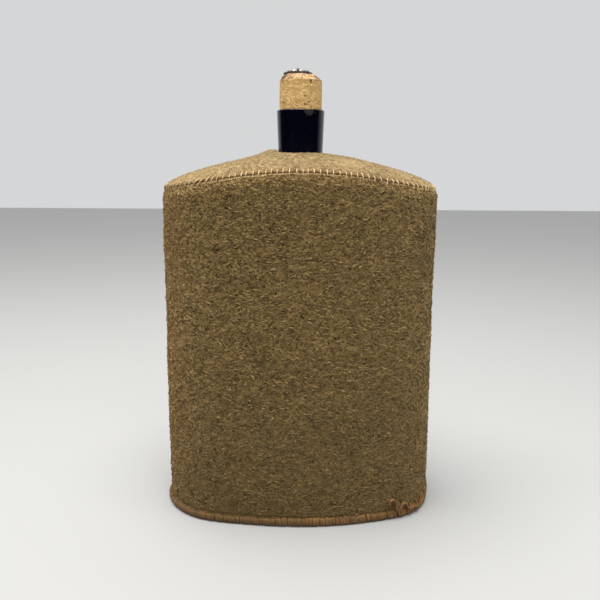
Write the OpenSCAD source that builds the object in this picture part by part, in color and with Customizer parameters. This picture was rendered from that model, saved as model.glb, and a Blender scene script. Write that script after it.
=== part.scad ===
// Felt-covered enamelled water bottle with a cork stopper.
// Units are millimetres, +Z is up and the bottle stands on z = 0. The convex front faces -Y.
// In plan the body is a kidney: two round ends, a bulging front and a hollow back.

/* [Body] */
// Overall width over the felt
body_w = 150; // [130:1:165]
// Overall depth over the felt, front bulge to the back of the round ends
body_d = 73; // [66:1:80]
// Radius of the two round ends, over the felt
end_r = 32.5; // [28:0.5:34]
// How far the middle of the back is hollowed
back_hollow = 14; // [8:0.5:18]

/* [Shoulder] */
// Height of the shoulder seam at the narrow ends
seam_end_z = 179.5; // [165:0.5:185]
// How much higher the seam is in the middle of the front and back
seam_arch = 9; // [4:0.5:12]
// Height of the felt where it meets the neck
crown_z = 199; // [195:0.5:205]
// Roundness of the shoulder from its edge to the crown: 1 is a cone, and less is rounder
shoulder_power = 0.55; // [0.4:0.05:1]

/* [Felt cover] */
// Thickness of the felt
felt_t = 3.5; // [2.5:0.25:4]
// Diameter of the sewing thread where it lies on a seam
thread_d = 1.2; // [0.8:0.1:1.6]

/* [Steel bottle] */
// Sheet steel with its enamel on both sides
wall_t = 1; // [0.8:0.1:1.6]
// Height of the flange that laps the base inside the wall
base_flange_h = 6; // [4:0.5:10]

/* [Neck] */
// How far the neck's axis stands off the middle, towards +X
neck_x = 0.5; // [-2:0.1:2]
// Where the neck's axis stands, front to back, with the round ends' backs at half the depth
neck_y = -4; // [-8:0.5:2]
// Height of the neck's rim
rim_z = 220.1; // [215:0.1:228]
// Outside radius at the rim
rim_r = 12.55; // [12:0.05:13.5]
// How much the neck's radius falls for each millimetre down from the rim
neck_taper = 0.035; // [0:0.005:0.05]
// Wall of the neck
neck_wall = 1.2; // [0.8:0.1:1.5]

/* [Stopper] */
// Length of cork inside the neck
cork_in = 17; // [12:0.5:18]
// Height of the cork's flat top
cork_top_z = 238.3; // [234:0.1:244]
// Radius of the cork above the rim
cork_r = 11.1; // [10:0.1:11.3]
// How far the spindle stands off the cork's axis, towards -X
spindle_off = 1.5; // [0:0.1:3]
// Radius of the spindle's rod
spindle_r = 1.5; // [1:0.1:1.8]

/* [Pull ring] */
// Radius of the ring, to the middle of its wire
ring_r = 5.5; // [5:0.25:8]
// Radius of the ring's wire
ring_wire_r = 0.55; // [0.4:0.05:0.6]

/* [Hidden] */

// Felt stands this far off the steel
gap = 0.2;
// Pieces of the bottle that meet are this far apart
play = 0.05;
// Running clearance: the spindle in the cork, the washers on the cork's ends, the cork in the neck
run = 0.1;

// Plan of the body: the ends' centres, then the centres and radii of the front and back arcs
end_x = body_w / 2 - end_r;
end_y = body_d / 2 - end_r;
front_bulge = body_d - 2 * end_r;
front_y = end_y + (end_x * end_x - front_bulge * front_bulge) / (2 * front_bulge);
front_r = front_y + body_d / 2;
back_y = end_y + (end_x * end_x - back_hollow * back_hollow) / (2 * back_hollow);
back_r = back_y - end_y - end_r + back_hollow;
front_half = atan2(end_x, front_y - end_y);
back_half = atan2(end_x, back_y - end_y);
front_steps = 20;
end_steps = 28;
back_steps = 12;

// Layers from the outside in, as how far the plan shrinks and how far the shoulder drops
felt_in = -felt_t;
steel_out = felt_in - gap;
steel_in = steel_out - wall_t;

// Heights
felt_hem_z = 0.4;
steel_floor_z = felt_t + gap;
shoulder_skirt_z = seam_end_z - felt_t - 3 * gap - 4;
neck_foot_z = crown_z - felt_t - wall_t - 3;
cork_foot_z = rim_z - cork_in;
cork_chamfer = 1.6;
washer_t = 0.5;
washer_rise = 0.5;
top_washer_r = 7.5;
bottom_washer_r = 6;
rivet_r = 2.6;
rivet_h = 1.1;
eye_r = 1.3;
eye_hole_r = 0.75;
eye_t = 1.5;
washer_crown_z = cork_top_z + run + washer_t + washer_rise;
rivet_top_z = cork_foot_z - run - washer_t;
eye_z = washer_crown_z + ring_wire_r + run;

// Seams: how far the thread's middle lies inside the felt's face, and where the seams run
thread_sink = 0.2;
bottom_seam_z = 2.8;
back_seam_low = 5;
slit_w = 0.4;

// Rings of points in the shoulder, and sides of a thread
shoulder_rings = 9;
thread_sides = 8;

// Route of the loose thread end, from the bottom seam to its free tip, with its diameter
tail_d = 1.4;
tail_route = [[68.5, -17.2, 2.6], [67.3, -18.6, 3.4], [66.0, -19.9, 4.1], [64.6, -21.2, 4.4],
              [63.4, -22.2, 4.2], [62.4, -23.0, 4.3], [61.5, -23.7, 5.2], [60.9, -24.1, 6.8],
              [60.0, -24.6, 8.2], [58.8, -25.3, 8.7], [57.8, -25.9, 8.0], [57.2, -26.2, 6.6],
              [56.5, -26.5, 5.4], [55.6, -26.9, 5.0], [54.9, -27.2, 5.8], [54.6, -27.3, 7.4],
              [54.4, -27.4, 9.2], [53.7, -27.6, 10.9], [52.5, -28.1, 11.9], [51.3, -28.5, 11.6],
              [50.6, -28.8, 10.6], [50.3, -28.9, 9.4]];

// Points of the plan, grown outwards by g, anticlockwise from the left of the front
function front_arc(g) = [for (i = [0 : front_steps - 1])
    let (a = -front_half + 2 * front_half * i / front_steps)
    [(front_r + g) * sin(a), front_y - (front_r + g) * cos(a)]];
function end_arc(g) = [for (i = [0 : end_steps - 1])
    let (a = front_half + (180 + back_half - front_half) * i / end_steps)
    [end_x + (end_r + g) * sin(a), end_y - (end_r + g) * cos(a)]];
function back_arc(g) = [for (i = [0 : back_steps - 1])
    let (a = back_half - 2 * back_half * i / back_steps)
    [(back_r - g) * sin(a), back_y - (back_r - g) * cos(a)]];
function other_end_arc(g) = [for (i = [0 : end_steps - 1])
    let (a = 180 + back_half - (180 + back_half - front_half) * i / end_steps)
    [-end_x - (end_r + g) * sin(a), end_y - (end_r + g) * cos(a)]];
function plan(g) = concat(front_arc(g), end_arc(g), back_arc(g), other_end_arc(g));

// Height of the shoulder seam at a distance x from the middle
function seam_z(x) = seam_end_z + seam_arch * pow(max(0, 1 - pow(2 * x / body_w, 2)), 1.5);

// A level ring of the plan at height z, and a ring that follows the seam, lowered by drop
function level_ring(g, z) = [for (p = plan(g)) [p[0], p[1], z]];
function seam_ring(g, drop) = [for (p = plan(g)) [p[0], p[1], seam_z(p[0]) - drop]];

// Rings of a shoulder surface, from the seam (t = 0) to a round hole at the neck (t = 1).
// The height follows a power of the way in, so the edge is round and the crown nearly flat.
function shoulder_ring(g, drop, hole_r, t) = [for (p = plan(g))
    let (dx = p[0] - neck_x, dy = p[1] - neck_y, d = norm([dx, dy]), k = 1 - t + t * hole_r / d,
         edge = seam_z(p[0]) - drop)
    [neck_x + k * dx, neck_y + k * dy, edge + (crown_z - drop - edge) * pow(t, shoulder_power)]];
function shoulder_stack(g, drop, hole_r) = [for (i = [0 : shoulder_rings])
    shoulder_ring(g, drop, hole_r, pow(i / shoulder_rings, 2))];

function reversed(list) = [for (i = [len(list) - 1 : -1 : 0]) list[i]];
function neck_r(z) = rim_r - neck_taper * (rim_z - z);
function bore_r(z) = neck_r(z) - neck_wall;

// Solid whose skin joins each closed ring of points to the next, and the last to the first
module ring_solid(rings) {
    count = len(rings);
    n = len(rings[0]);
    points = [for (r = rings) for (p = r) p];
    faces = [for (j = [0 : count - 1]) for (i = [0 : n - 1])
        let (a = j * n + i, b = j * n + (i + 1) % n,
             c = ((j + 1) % count) * n + (i + 1) % n, d = ((j + 1) % count) * n + i)
        each [[a, c, b], [a, d, c]]];
    polyhedron(points = points, faces = faces);
}

// Points round a thread at one place on its route: along is its direction and side a rough normal
function thread_section(at, along, side, r) =
    let (t = along / norm(along), u0 = side - (side * t) * t, u = u0 / norm(u0), v = cross(t, u))
    [for (i = [0 : thread_sides - 1]) let (a = 360 * i / thread_sides) at + r * (cos(a) * u + sin(a) * v)];

// A thread along a closed route
module thread_loop(route, r) {
    n = len(route);
    ring_solid([for (i = [0 : n - 1])
        thread_section(route[i], route[(i + 1) % n] - route[(i + n - 1) % n], [0, 0, 1], r)]);
}

// A thread along an open route, closed at both ends by a fan of triangles
module thread_open(route, r, side) {
    n = len(route);
    m = thread_sides;
    sections = [for (i = [0 : n - 1])
        thread_section(route[i], route[min(i + 1, n - 1)] - route[max(i - 1, 0)], side, r)];
    points = concat([for (s = sections) for (p = s) p], [route[0], route[n - 1]]);
    walls = [for (j = [0 : n - 2]) for (i = [0 : m - 1])
        let (a = j * m + i, b = j * m + (i + 1) % m, c = (j + 1) * m + (i + 1) % m, d = (j + 1) * m + i)
        each [[a, c, b], [a, d, c]]];
    start_cap = [for (i = [0 : m - 1]) [n * m, i, (i + 1) % m]];
    end_cap = [for (i = [0 : m - 1]) [n * m + 1, (n - 1) * m + (i + 1) % m, (n - 1) * m + i]];
    polyhedron(points = points, faces = concat(walls, start_cap, end_cap));
}

// Steel sheet wrapped to the plan, open at the top and bottom
module bottle_wall() {
    color("midnightblue")
    translate([0, 0, steel_floor_z])
    linear_extrude(shoulder_skirt_z - steel_floor_z)
    difference() {
        polygon(plan(steel_out));
        polygon(plan(steel_in));
    }
}

// Pressed dome with a short skirt, butt welded to the wall
module bottle_shoulder() {
    outer = shoulder_stack(steel_out, felt_t + 1.5 * gap, neck_r(crown_z - felt_t) + play);
    inner = shoulder_stack(steel_in, felt_t + 1.5 * gap + wall_t, neck_r(crown_z - felt_t) + play);
    color("midnightblue")
    ring_solid(concat([level_ring(steel_in, shoulder_skirt_z), level_ring(steel_out, shoulder_skirt_z)],
                      outer, reversed(inner)));
}

// Pressed pan with an upturned flange that laps inside the wall
module bottle_base() {
    lap = steel_in - play;
    color("midnightblue")
    translate([0, 0, steel_floor_z])
    difference() {
        linear_extrude(base_flange_h) polygon(plan(lap));
        translate([0, 0, wall_t]) linear_extrude(base_flange_h) polygon(plan(lap - wall_t));
    }
}

// Tapered tube that passes through the shoulder, with a rounded rim
module bottle_neck() {
    lip = neck_wall / 2;
    color("midnightblue")
    translate([neck_x, neck_y, 0])
    union() {
        rotate_extrude($fn = 96)
            polygon([[bore_r(neck_foot_z), neck_foot_z], [neck_r(neck_foot_z), neck_foot_z],
                     [rim_r, rim_z - lip], [rim_r - neck_wall, rim_z - lip]]);
        translate([0, 0, rim_z - lip])
            rotate_extrude($fn = 96) translate([rim_r - lip, 0]) circle(lip, $fn = 24);
    }
}

// Felt strip round the body, mitred at the seam and slit where its ends meet at the back
module felt_body() {
    color("darkkhaki")
    difference() {
        ring_solid([level_ring(0, felt_hem_z), seam_ring(0, play), seam_ring(felt_in, felt_t + play),
                    level_ring(felt_in, felt_hem_z)]);
        translate([-slit_w / 2, body_d / 4, 0])
            cube([slit_w, body_d / 4, seam_end_z + 2 * seam_arch]);
    }
}

// Felt panel over the shoulder, with a round hole for the neck
module felt_shoulder() {
    hole_r = neck_r(crown_z) + play;
    color("tan")
    ring_solid(concat(shoulder_stack(0, 0, hole_r), reversed(shoulder_stack(felt_in, felt_t, hole_r))));
}

// Felt panel under the base, inside the hem of the strip
module felt_base() {
    color("darkkhaki")
    linear_extrude(felt_t) polygon(plan(felt_in - play));
}

// Thread of the shoulder seam
module top_seam_thread() {
    color("burlywood")
    thread_loop(seam_ring(-thread_sink, 0), thread_d / 2);
}

// Thread of the whipped bottom seam
module bottom_seam_thread() {
    color("sienna")
    thread_loop(level_ring(-thread_sink, bottom_seam_z), thread_d / 2);
}

// Thread that closes the slit at the back
module back_seam_thread() {
    y = back_y - back_r - thread_sink;
    low = back_seam_low;
    high = seam_z(0) - thread_d;
    color("sienna")
    thread_open([for (i = [0 : 4]) [0, y, low + (high - low) * i / 4]], thread_d / 2, [1, 0, 0]);
}

// Loose curled end of the bottom thread
module loose_thread_end() {
    color("sienna")
    thread_open(tail_route, tail_d / 2, [1, 4, 2]);
}

// Cork, tapered where it sits in the neck and chamfered at the top, bored for the spindle
module cork() {
    color("burlywood")
    difference() {
        translate([neck_x, neck_y, 0])
        rotate_extrude($fn = 96)
            polygon([[0, cork_foot_z], [bore_r(cork_foot_z) - run, cork_foot_z],
                     [min(cork_r, bore_r(rim_z) - run), rim_z], [cork_r, rim_z + 0.5],
                     [cork_r, cork_top_z - 2 * cork_chamfer], [cork_r - cork_chamfer, cork_top_z],
                     [0, cork_top_z]]);
        translate([neck_x - spindle_off, neck_y, cork_foot_z - 1])
            cylinder(r = spindle_r + run, h = cork_top_z - cork_foot_z + 2, $fn = 48);
    }
}

// Thin domed washer on top of the cork, a tight fit on the spindle
module top_washer() {
    mid_r = top_washer_r * 0.55;
    mid_rise = washer_rise * 0.7;
    color("dimgray")
    translate([neck_x - spindle_off, neck_y, cork_top_z + run])
    rotate_extrude($fn = 96)
        polygon([[spindle_r, washer_rise], [mid_r, mid_rise], [top_washer_r, 0],
                 [top_washer_r, washer_t], [mid_r, washer_t + mid_rise],
                 [spindle_r, washer_t + washer_rise]]);
}

// Flat washer under the cork, a tight fit on the spindle
module bottom_washer() {
    color("dimgray")
    translate([neck_x - spindle_off, neck_y, rivet_top_z])
    difference() {
        cylinder(r = bottom_washer_r, h = washer_t, $fn = 96);
        translate([0, 0, -1]) cylinder(r = spindle_r, h = washer_t + 2, $fn = 48);
    }
}

// Rod through the cork, riveted over below and flattened to an eye above
module spindle() {
    color("gray")
    translate([neck_x - spindle_off, neck_y, 0])
    difference() {
        union() {
            translate([0, 0, rivet_top_z - rivet_h])
                cylinder(r1 = rivet_r * 0.7, r2 = rivet_r, h = rivet_h, $fn = 48);
            translate([0, 0, rivet_top_z])
                cylinder(r = spindle_r, h = washer_crown_z - rivet_top_z, $fn = 48);
            translate([-eye_t / 2, 0, eye_z]) rotate([0, 90, 0]) cylinder(r = eye_r, h = eye_t, $fn = 48);
        }
        translate([-eye_t, 0, eye_z]) rotate([0, 90, 0]) cylinder(r = eye_hole_r, h = 2 * eye_t, $fn = 32);
    }
}

// Wire ring through the eye, lying flat towards the back
module pull_ring() {
    color("silver")
    translate([neck_x - spindle_off, neck_y + ring_r, eye_z])
        rotate_extrude($fn = 96) translate([ring_r, 0]) circle(ring_wire_r, $fn = 24);
}

bottle_wall();
bottle_shoulder();
bottle_base();
bottle_neck();
felt_body();
felt_shoulder();
felt_base();
top_seam_thread();
bottom_seam_thread();
back_seam_thread();
loose_thread_end();
cork();
top_washer();
bottom_washer();
spindle();
pull_ring();
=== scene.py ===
"""Looks of the felt-covered water bottle: felt, stitches, cork, enamel and rusty steel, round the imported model."""

import math
import random

import bmesh
import bpy
import numpy as np
from mathutils import Matrix, Vector


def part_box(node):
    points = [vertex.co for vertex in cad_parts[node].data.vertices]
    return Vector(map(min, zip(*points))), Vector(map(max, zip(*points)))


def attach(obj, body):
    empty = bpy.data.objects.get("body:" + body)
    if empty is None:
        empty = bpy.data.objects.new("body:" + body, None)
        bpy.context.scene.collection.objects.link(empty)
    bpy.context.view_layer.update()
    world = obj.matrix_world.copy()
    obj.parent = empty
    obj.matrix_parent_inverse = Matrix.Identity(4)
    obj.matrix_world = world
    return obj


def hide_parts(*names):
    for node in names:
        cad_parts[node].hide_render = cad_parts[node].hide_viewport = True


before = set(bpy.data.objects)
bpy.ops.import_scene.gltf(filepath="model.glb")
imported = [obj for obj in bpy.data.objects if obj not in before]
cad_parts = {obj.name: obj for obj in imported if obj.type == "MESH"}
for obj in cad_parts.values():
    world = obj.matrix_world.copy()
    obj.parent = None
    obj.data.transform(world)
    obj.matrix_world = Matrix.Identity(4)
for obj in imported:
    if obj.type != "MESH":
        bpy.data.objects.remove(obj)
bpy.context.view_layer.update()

MM = 0.001

# ---- camera and stage

TILT_DOWN = 11.17  # degrees
ROLL = 0.33  # degrees
LENS = 42.3  # mm
SENSOR_WIDTH = 36.0  # mm
CAMERA_AT = (0.0007, -0.3863, 0.1942)


def make_camera():
    data = bpy.data.cameras.new("camera")
    data.lens = LENS
    data.sensor_width = SENSOR_WIDTH
    data.clip_start = 0.01
    camera = new_object("camera", data)
    turn = Matrix.Rotation(math.radians(90 - TILT_DOWN), 4, "X") @ Matrix.Rotation(math.radians(ROLL), 4, "Z")
    camera.matrix_world = Matrix.Translation(CAMERA_AT) @ turn
    bpy.context.scene.camera = camera


# ---- small helpers

def new_object(name, data):
    obj = bpy.data.objects.new(name, data)
    bpy.context.scene.collection.objects.link(obj)
    return obj


def mesh_object(name, points, faces):
    mesh = bpy.data.meshes.new(name)
    mesh.from_pydata([tuple(p) for p in np.reshape(points, (-1, 3))], [], [tuple(f) for f in faces])
    mesh.validate()
    mesh.update()
    mesh.polygons.foreach_set("use_smooth", [True] * len(mesh.polygons))
    return new_object(name, mesh)


def grid_faces(rows, columns, closed_rows=False):
    """Quads between rows of points, each row a closed loop of that many columns."""
    faces = []
    for j in range(rows if closed_rows else rows - 1):
        a, b = j * columns, ((j + 1) % rows) * columns
        for i in range(columns):
            k = (i + 1) % columns
            faces.append((a + i, a + k, b + k, b + i))
    return faces


def put_attribute(obj, name, values):
    layer = obj.data.attributes.new(name, "FLOAT", "POINT")
    layer.data.foreach_set("value", np.ravel(values).astype(np.float32))


def unit(vectors):
    """The vectors, each with length 1."""
    return vectors / np.linalg.norm(vectors, axis=-1, keepdims=True)


def bell(value, middle, spread):
    """1 at the middle value, falling smoothly to 0 on both sides of it."""
    return np.exp(-((value - middle) / spread) ** 2)


# ---- smooth noise for the meshes

def lattice(cells):
    """A repeatable random number from -1 to 1 for each whole-number cell."""
    n = cells[..., 0] * 73856093 ^ cells[..., 1] * 19349663 ^ cells[..., 2] * 83492791
    n = (n ^ (n >> 13)) * 1274126177 & 0x7FFFFFFF
    n = (n ^ (n >> 16)) & 0xFFFF
    return n / 32767.5 - 1.0


def noise(points, size, seed=0):
    """Smooth noise from -1 to 1 at points, with bumps of about that size."""
    p = np.asarray(points, dtype=float) / size + 1000.0 + 17.3 * seed
    base = np.floor(p).astype(np.int64)
    f = p - base
    f = f * f * f * (f * (f * 6 - 15) + 10)
    total = 0.0
    for dx in (0, 1):
        for dy in (0, 1):
            for dz in (0, 1):
                corner = lattice(base + np.array([dx, dy, dz]))
                wx = f[..., 0] if dx else 1 - f[..., 0]
                wy = f[..., 1] if dy else 1 - f[..., 1]
                wz = f[..., 2] if dz else 1 - f[..., 2]
                total = total + corner * wx * wy * wz
    return total


# ---- the bottle's plan and seams

lo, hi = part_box("felt_body")
WIDTH = hi[0] - lo[0]
DEPTH = hi[1] - lo[1]
END_R = 32.5 * MM
BACK_HOLLOW = 14.0 * MM
FELT_T = 3.5 * MM
SEAM_END_Z = 179.5 * MM
SEAM_ARCH = 9.0 * MM
SEAM_ARCH_POWER = 1.5
CROWN_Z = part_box("felt_shoulder")[1][2]
NECK_LO, NECK_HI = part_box("bottle_neck")
NECK_X = (NECK_LO[0] + NECK_HI[0]) / 2
NECK_Y = (NECK_LO[1] + NECK_HI[1]) / 2
RIM_R = (NECK_HI[0] - NECK_LO[0]) / 2
RIM_Z = NECK_HI[2]
NECK_TAPER = 0.035

# The cover stands a little fuller at the left of its front: by how much, where, and how far to each side
FULLER_BY = 2.0 * MM
FULLER_AT = -50 * MM
FULLER_SPREAD = 16 * MM

END_X = WIDTH / 2 - END_R
END_Y = DEPTH / 2 - END_R
BULGE = DEPTH - 2 * END_R
FRONT_Y = END_Y + (END_X ** 2 - BULGE ** 2) / (2 * BULGE)
FRONT_R = FRONT_Y + DEPTH / 2
BACK_Y = END_Y + (END_X ** 2 - BACK_HOLLOW ** 2) / (2 * BACK_HOLLOW)
BACK_R = BACK_Y - END_Y - END_R + BACK_HOLLOW
FRONT_HALF = math.atan2(END_X, FRONT_Y - END_Y)
BACK_HALF = math.atan2(END_X, BACK_Y - END_Y)
END_SWEEP = math.pi + BACK_HALF - FRONT_HALF

# Lengths of the plan's stretches, from the middle of the back, anticlockwise seen from above
HALF_BACK = BACK_R * BACK_HALF
END_LENGTH = END_R * END_SWEEP
FRONT_LENGTH = 2 * FRONT_R * FRONT_HALF
PERIMETER = 2 * HALF_BACK + 2 * END_LENGTH + FRONT_LENGTH

# Those stretches: length, centre, radius, first angle, and 1 where the plan bulges out or -1 where it is hollow
STRETCHES = [(HALF_BACK, 0, BACK_Y, BACK_R, 0, -1),
             (END_LENGTH, -END_X, END_Y, END_R, -math.pi - BACK_HALF, 1),
             (FRONT_LENGTH, 0, FRONT_Y, FRONT_R, -FRONT_HALF, 1),
             (END_LENGTH, END_X, END_Y, END_R, FRONT_HALF, 1),
             (HALF_BACK, 0, BACK_Y, BACK_R, BACK_HALF, -1)]


def plan(s):
    """Points and outward normals of the plan at distances s round it, starting at the middle of the back."""
    s = np.mod(np.asarray(s, dtype=float), PERIMETER)
    x, y, nx, ny = (np.empty_like(s) for _ in range(4))
    edges = np.cumsum([0] + [stretch[0] for stretch in STRETCHES])
    part = np.clip(np.searchsorted(edges, s, side="right") - 1, 0, len(STRETCHES) - 1)
    for i, (_, middle_x, middle_y, radius, start, turn) in enumerate(STRETCHES):
        here = part == i
        angle = start + turn * (s[here] - edges[i]) / radius
        x[here], y[here] = middle_x + radius * np.sin(angle), middle_y - radius * np.cos(angle)
        nx[here], ny[here] = turn * np.sin(angle), -turn * np.cos(angle)
    y -= FULLER_BY * bell(x, FULLER_AT, FULLER_SPREAD) * np.clip(-ny, 0, 1)
    return x, y, nx, ny


def plan_at(s):
    """One point and outward normal of the plan."""
    return (v[0] for v in plan(np.array([s])))


def plan_x(s):
    return float(plan(np.array([s]))[0][0])


def seam_z(x):
    """Height of the shoulder seam, which arches up to the middle."""
    return SEAM_END_Z + SEAM_ARCH * np.maximum(0, 1 - (2 * x / WIDTH) ** 2) ** SEAM_ARCH_POWER


def neck_r(z):
    """Outer radius of the neck, which narrows downwards."""
    return RIM_R - NECK_TAPER * (RIM_Z - z)


NAP_ROOM = 0.35 * MM


def wave(points):
    """How far the felt's face lies off its plan, for the nap and the cloth's slackness."""
    return -NAP_ROOM + 0.45 * MM * noise(points, 45 * MM, 1) + 0.22 * MM * noise(points, 16 * MM, 2)


def tufts(points):
    """The felt's matted surface: short, mostly level tufts."""
    level = np.asarray(points) * np.array([0.45, 0.45, 1.0])
    return (0.16 * MM * noise(level, 1.7 * MM, 3) + 0.06 * MM * noise(points, 3.4 * MM, 4)
            + 0.07 * MM * noise(level, 1.0 * MM, 5))


# ---- felt panels

EDGE_IN = 1.5 * MM  # how far the seam draws the strip's top edge in
EDGE_UP = 0.6 * MM  # how far the shoulder panel's edge rolls up over it
GATHER_SPREAD = 2.8 * MM  # how far down the strip the seam's pull is felt
LEFT_IN = 0.7 * MM
CORNER_OUT = 0.65 * MM
HEM_ROLL_OUT, HEM_ROLL_Z, HEM_ROLL_SPREAD = 0.25 * MM, 2.8 * MM, 1.5 * MM
CREASE_DEPTH, CREASE_Z, CREASE_SPREAD = 0.75 * MM, 5.4 * MM, 0.8 * MM
UNDER_IN, UNDER_Z = 1.6 * MM, 1.6 * MM


def left_slack(x):
    """The cover sits a little closer at its left end."""
    return -LEFT_IN * np.clip(-x / (WIDTH / 2), 0, 1) ** 6


def corner(x):
    """How much fuller the cover's top edge is at its two ends."""
    end = np.clip((np.abs(x) / (WIDTH / 2) - 0.7) / 0.3, 0, 1)
    return CORNER_OUT * end * end * (3 - 2 * end)


def wrap_offset(x, z):
    """How far the felt strip's face stands out at height z: a rolled bottom edge, and a drawn-in top edge."""
    roll = HEM_ROLL_OUT * bell(z, HEM_ROLL_Z, HEM_ROLL_SPREAD)
    crease = -CREASE_DEPTH * bell(z, CREASE_Z, CREASE_SPREAD)
    under = -UNDER_IN * np.clip(1 - z / UNDER_Z, 0, 1) ** 2
    gather = (0.5 * corner(x) - EDGE_IN) * bell(z, seam_z(x), GATHER_SPREAD)
    return roll + crease + under + gather


def felt_wrap():
    """The strip of felt round the body, open at the slit in the back where its ends meet."""
    columns = 440
    levels = 214
    half_slit = 0.25 * MM
    s = np.linspace(half_slit, PERIMETER - half_slit, columns)
    x, y, nx, ny = plan(s)
    top = seam_z(x) - 0.1 * MM
    low = 0.3 * MM
    slack = left_slack(x)
    slit = -1.1 * MM * bell(np.minimum(s, PERIMETER - s), 0, 1.6 * MM)
    nick = np.array([WIDTH / 2, 0, 171 * MM])
    rows = []
    for v in np.linspace(0, 1, levels):
        z = low + (top - low) * v
        p = np.stack([x, y, z], -1)
        dent = -0.9 * MM * bell(np.linalg.norm(p - nick, axis=-1), 0, 1.6 * MM)
        off = wave(p) + tufts(p) + wrap_offset(x, z) + slit + dent + slack
        rows.append(np.stack([x + nx * off, y + ny * off, z], -1))
    depth = FELT_T - 0.05 * MM
    for v in (1.0, 0.75, 0.5, 0.25, 0.0):
        z = low + (top - FELT_T - low) * v
        rows.append(np.stack([x - nx * depth, y - ny * depth, z], -1))
    points = np.array(rows)
    seam = bell(points[..., 2], top, 3.2 * MM)
    count = len(rows)
    faces = []
    for j in range(count):
        a, b = j * columns, ((j + 1) % count) * columns
        for i in range(columns - 1):
            faces.append((a + i, a + i + 1, b + i + 1, b + i))
    faces += strip_end(points, columns, 0, levels)
    faces += [face[::-1] for face in strip_end(points, columns, columns - 1, levels)]
    obj = mesh_object("felt_wrap", points, faces)
    put_attribute(obj, "seam", seam)
    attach(obj, "bottle")
    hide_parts("felt_body")
    return obj


def strip_end(points, columns, column, outer):
    """Faces that close the strip's end: the outer face's points on one side, the inner face's on the other."""
    inner = list(range(outer, len(points)))[::-1]
    last = len(inner) - 1
    faces = []
    for j in range(outer - 1):
        k, k2 = (inner[min(int(step / (outer - 1) * last + 0.5), last)] for step in (j, j + 1))
        a, b = j * columns + column, (j + 1) * columns + column
        if k == k2:
            faces.append((a, b, k * columns + column))
        else:
            faces.append((a, b, k2 * columns + column, k * columns + column))
    return faces


SHOULDER_POWER = 0.63  # how steeply the shoulder's face rises from its seam, and its inner face below
INNER_POWER = 0.55
SHOULDER_IN = 2.1 * MM
HOLE_R = neck_r(CROWN_Z) + 0.15 * MM
# The panel's rolled edge: how far each ring stands out of the seam and above it, in mm
LIP = [(-3.2, -0.6), (-2.8, -0.3), (-2.5, 0.0), (-2.3, 0.25), (-2.2, 0.5)]


def shoulder_points(s, t):
    """Points of the shoulder's face at distances s round the seam, t of the way in from the seam to the neck."""
    x, y, nx, ny = plan(s)
    edge = seam_z(x)
    inset = SHOULDER_IN - left_slack(x) - corner(x)
    dx, dy = x - inset * nx - NECK_X, y - inset * ny - NECK_Y
    k = 1 - t + t * HOLE_R / np.hypot(dx, dy)
    z = edge + EDGE_UP * (1 - t) + (CROWN_Z - edge) * t ** SHOULDER_POWER
    return np.stack([NECK_X + k * dx, NECK_Y + k * dy, z], -1)


def crown_shape(p):
    """The crown's own lie: a peak at the left of the neck, a lower collar at the right, and a short crease."""
    x, y = p[..., 0] - NECK_X, p[..., 1] - NECK_Y
    peak = 1.7 * MM * np.exp(-((x + 15.5 * MM) ** 2 + y ** 2) / (6 * MM) ** 2)
    low_side = -1.7 * MM * np.exp(-((x - 13.5 * MM) ** 2 + y ** 2) / (6 * MM) ** 2)
    collar = -0.9 * MM * bell(np.hypot(x, y), HOLE_R, 2.2 * MM)
    start, end = np.array([-5.5 * MM, 195.2 * MM]), np.array([-0.4 * MM, 192.4 * MM])
    q = p[..., [0, 2]] - start
    along = np.clip(q @ (end - start) / ((end - start) @ (end - start)), 0, 1)
    away = np.linalg.norm(q - along[..., None] * (end - start), axis=-1)
    crease = -0.55 * MM * bell(away, 0, 0.6 * MM) * (y < -5 * MM)
    return peak + low_side + collar + crease


def felt_shoulder():
    """The panel over the shoulder, from its rolled edge up to the hole for the neck. Its colour is lighter than the
    strip's, partly as lighter felt and partly as painted light from above.
    """
    columns = 440
    rings = 64
    inner_rings = 8
    fade = 20
    s = np.linspace(0, PERIMETER, columns, endpoint=False)
    x, y, nx, ny = plan(s)
    edge = seam_z(x)
    lip = []
    for out, up in LIP:
        level = out * MM + left_slack(x) + corner(x)
        lip.append(np.stack([x + nx * level, y + ny * level, edge + up * MM], -1))
    dome = [shoulder_points(s, (i / rings) ** 2) for i in range(1, rings + 1)]
    outer = np.array(lip + dome)
    outer[..., 2] += crown_shape(outer) * np.concatenate([np.zeros(len(lip)), np.ones(len(dome))])[:, None]
    along = np.roll(outer, -1, axis=1) - np.roll(outer, 1, axis=1)
    inward = np.gradient(outer, axis=0)
    normal = np.cross(along, inward)
    normal /= np.linalg.norm(normal, axis=-1, keepdims=True) + 1e-12
    ring = np.arange(len(outer))
    slack = np.clip(ring / fade, 0, 1) * np.clip((len(outer) - ring) / fade, 0, 1)
    lift = wave(outer) * slack[:, None] + 0.35 * tufts(outer)
    outer = outer + normal * lift[..., None]
    dx, dy = x - nx * FELT_T - NECK_X, y - ny * FELT_T - NECK_Y
    inner = []
    for i in range(inner_rings, -1, -1):
        t = (i / inner_rings) ** 2
        k = 1 - t + t * HOLE_R / np.hypot(dx, dy)
        low = seam_z(NECK_X + dx) - FELT_T + 0.05 * MM
        z = low + (CROWN_Z - FELT_T - low) * t ** INNER_POWER
        inner.append(np.stack([NECK_X + k * dx, NECK_Y + k * dy, z], -1))
    points = np.concatenate([outer, np.array(inner)])
    faces = grid_faces(len(points), columns, closed_rows=True)
    seam = bell(points[..., 2], edge, 2.6 * MM)
    obj = mesh_object("felt_shoulder_panel", points, faces)
    put_attribute(obj, "seam", seam)
    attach(obj, "bottle")
    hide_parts("felt_shoulder")
    return obj


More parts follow.
